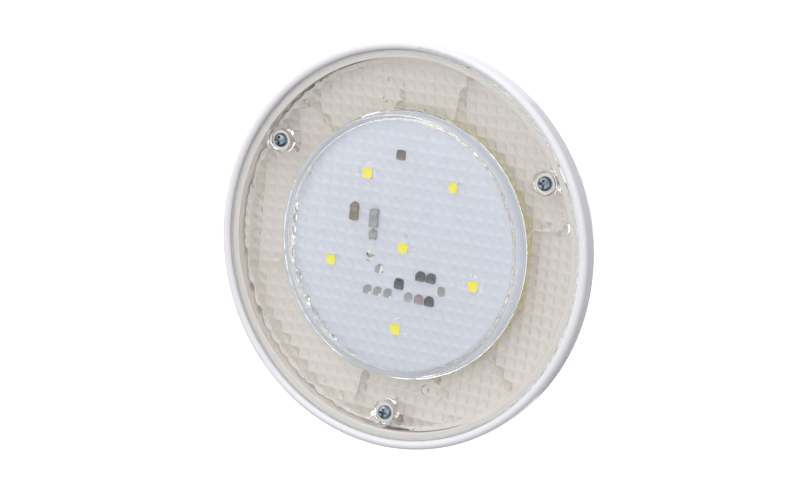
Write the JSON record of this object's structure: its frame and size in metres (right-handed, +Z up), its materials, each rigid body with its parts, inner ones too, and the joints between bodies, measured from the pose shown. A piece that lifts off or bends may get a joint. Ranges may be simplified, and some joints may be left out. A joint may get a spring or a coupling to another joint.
{
  "type": "underwater pool light",
  "caption": "Round surface-mounted underwater pool wall light: white bowl housing, clear screwed-on lens with inner pillow prisms, LED board, and a flat padded back held to the wall by magnets.",
  "frame": {"origin": "centre of the flat rear pad face, where the light meets the pool wall", "axes": "+Z up, +X to the light's right as seen from its front, the light shines towards -Y and its wall face looks towards +Y"},
  "size_m": [0.1764, 0.038, 0.1764],
  "materials": {
    "white_shell": "glossy injection-moulded white plastic",
    "clear_lens": "clear moulded plastic, pillow prisms on its inner face",
    "cream_tray": "satin cream plastic",
    "steel": "bright zinc-plated steel",
    "seal_rubber": "translucent silicone rubber",
    "amber_gasket": "amber silicone rubber",
    "pad_rubber": "matt grey rubber",
    "board_white": "white solder mask on glass-fibre board",
    "led_body": "white LED housing",
    "led_phosphor": "yellow phosphor window",
    "black_epoxy": "black moulded epoxy",
    "tan_ceramic": "tan ceramic",
    "grey_ceramic": "grey ceramic and ferrite",
    "pink_ceramic": "dull pink ceramic",
    "brown_ceramic": "brown ceramic",
    "tin": "tinned metal and solder",
    "black_wire": "insulated lead",
    "former_plastic": "black plastic",
    "copper": "enamelled copper winding",
    "ferrite": "sintered ferrite",
    "magnet_plate": "nickel-plated magnet"
  },
  "bodies": {
    "root": {"rear_housing": "white_shell", "wall_pad": "pad_rubber", "front_lens": "clear_lens", "lens_seal": "seal_rubber", "lens_screws": "steel", "screw_washers": "seal_rubber", "component_tray": "cream_tray", "board_gasket": "amber_gasket", "led_board": "board_white", "led_packages": "led_body", "led_windows": "led_phosphor", "led_solder": "tin", "driver_ic": "black_epoxy", "rectifier_diodes": "black_epoxy", "input_capacitor": "tan_ceramic", "power_inductor": "grey_ceramic", "damping_capacitor": "grey_ceramic", "resistor_bodies": "grey_ceramic", "resistor_ends": "tin", "chip_fuse": "pink_ceramic", "temperature_sensor": "brown_ceramic", "lead_wires": "black_wire", "lead_solder": "tin", "coil_former": "former_plastic", "receiver_coil": "copper", "ferrite_ring": "ferrite", "magnets": "magnet_plate", "magnet_caps": "former_plastic"}
  },
  "joints": []
}
